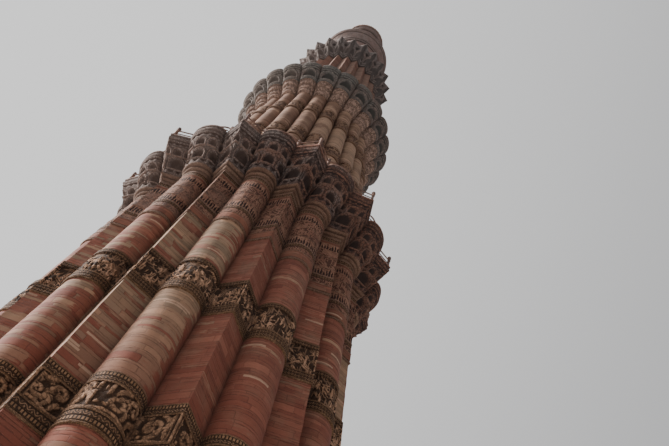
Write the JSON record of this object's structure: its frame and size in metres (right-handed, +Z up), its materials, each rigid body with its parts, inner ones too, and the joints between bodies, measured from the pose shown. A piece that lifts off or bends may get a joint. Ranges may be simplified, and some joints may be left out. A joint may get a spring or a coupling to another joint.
{
  "type": "fluted sandstone minaret, 1:2 scale model",
  "caption": "Tall tapering stone minaret with a fluted shaft, carved bands and balconies on tiered corbels, hollow inside, as a 1:2 scale model.",
  "frame": {"origin": "centre of the plinth's underside, on the tower's axis, at ground level", "axes": "+Z up along the tower's axis; +Y towards the entrance; -Y through the crest of the angular flute opposite it"},
  "size_m": [7.6836, 7.6836, 36.2853],
  "materials": {
    "plinth_stone": "rough dressed",
    "red_sandstone": "weathered ashlar",
    "buff_sandstone": "weathered ashlar",
    "dark_sandstone": "weathered ashlar",
    "carved_sandstone": "carved relief",
    "corbel_stone": "carved and stained",
    "rail_stone": "dark and stained"
  },
  "bodies": {
    "root": {"plinth": "plinth_stone", "entrance_steps": "plinth_stone", "entrance_portal": "plinth_stone", "first_storey_base_band": "carved_sandstone", "first_storey_wall_1": "red_sandstone", "first_storey_band_2": "carved_sandstone", "first_storey_wall_2": "red_sandstone", "first_storey_band_3": "carved_sandstone", "first_storey_wall_3": "red_sandstone", "first_storey_band_4": "carved_sandstone", "first_storey_wall_4": "red_sandstone", "first_storey_band_5": "carved_sandstone", "first_storey_band_6": "carved_sandstone", "first_balcony_moulding": "corbel_stone", "first_balcony_lower_corbel": "corbel_stone", "first_balcony_upper_corbel": "corbel_stone", "first_balcony_slab": "corbel_stone", "first_balcony_railing": "rail_stone", "second_storey_wall_1": "buff_sandstone", "second_storey_band_1": "carved_sandstone", "second_storey_wall_2": "buff_sandstone", "second_storey_band_2": "carved_sandstone", "second_storey_wall_3": "buff_sandstone", "second_balcony_lower_corbel": "corbel_stone", "second_balcony_upper_corbel": "corbel_stone", "second_balcony_slab": "corbel_stone", "second_balcony_railing": "rail_stone", "third_storey_wall_1": "dark_sandstone", "third_storey_band_1": "carved_sandstone", "third_storey_wall_2": "dark_sandstone", "third_balcony_corbel": "corbel_stone", "third_balcony_slab": "corbel_stone", "third_balcony_railing": "rail_stone", "fourth_storey_wall_1": "dark_sandstone", "fourth_storey_band_1": "carved_sandstone", "fourth_storey_wall_2": "dark_sandstone", "fourth_balcony_corbel": "corbel_stone", "fourth_balcony_slab": "corbel_stone", "fourth_balcony_railing": "rail_stone", "fifth_storey_wall_1": "dark_sandstone", "fifth_storey_band_1": "carved_sandstone", "fifth_storey_wall_2": "dark_sandstone", "top_cornice": "corbel_stone", "top_platform": "corbel_stone", "top_railing": "rail_stone"}
  },
  "joints": []
}
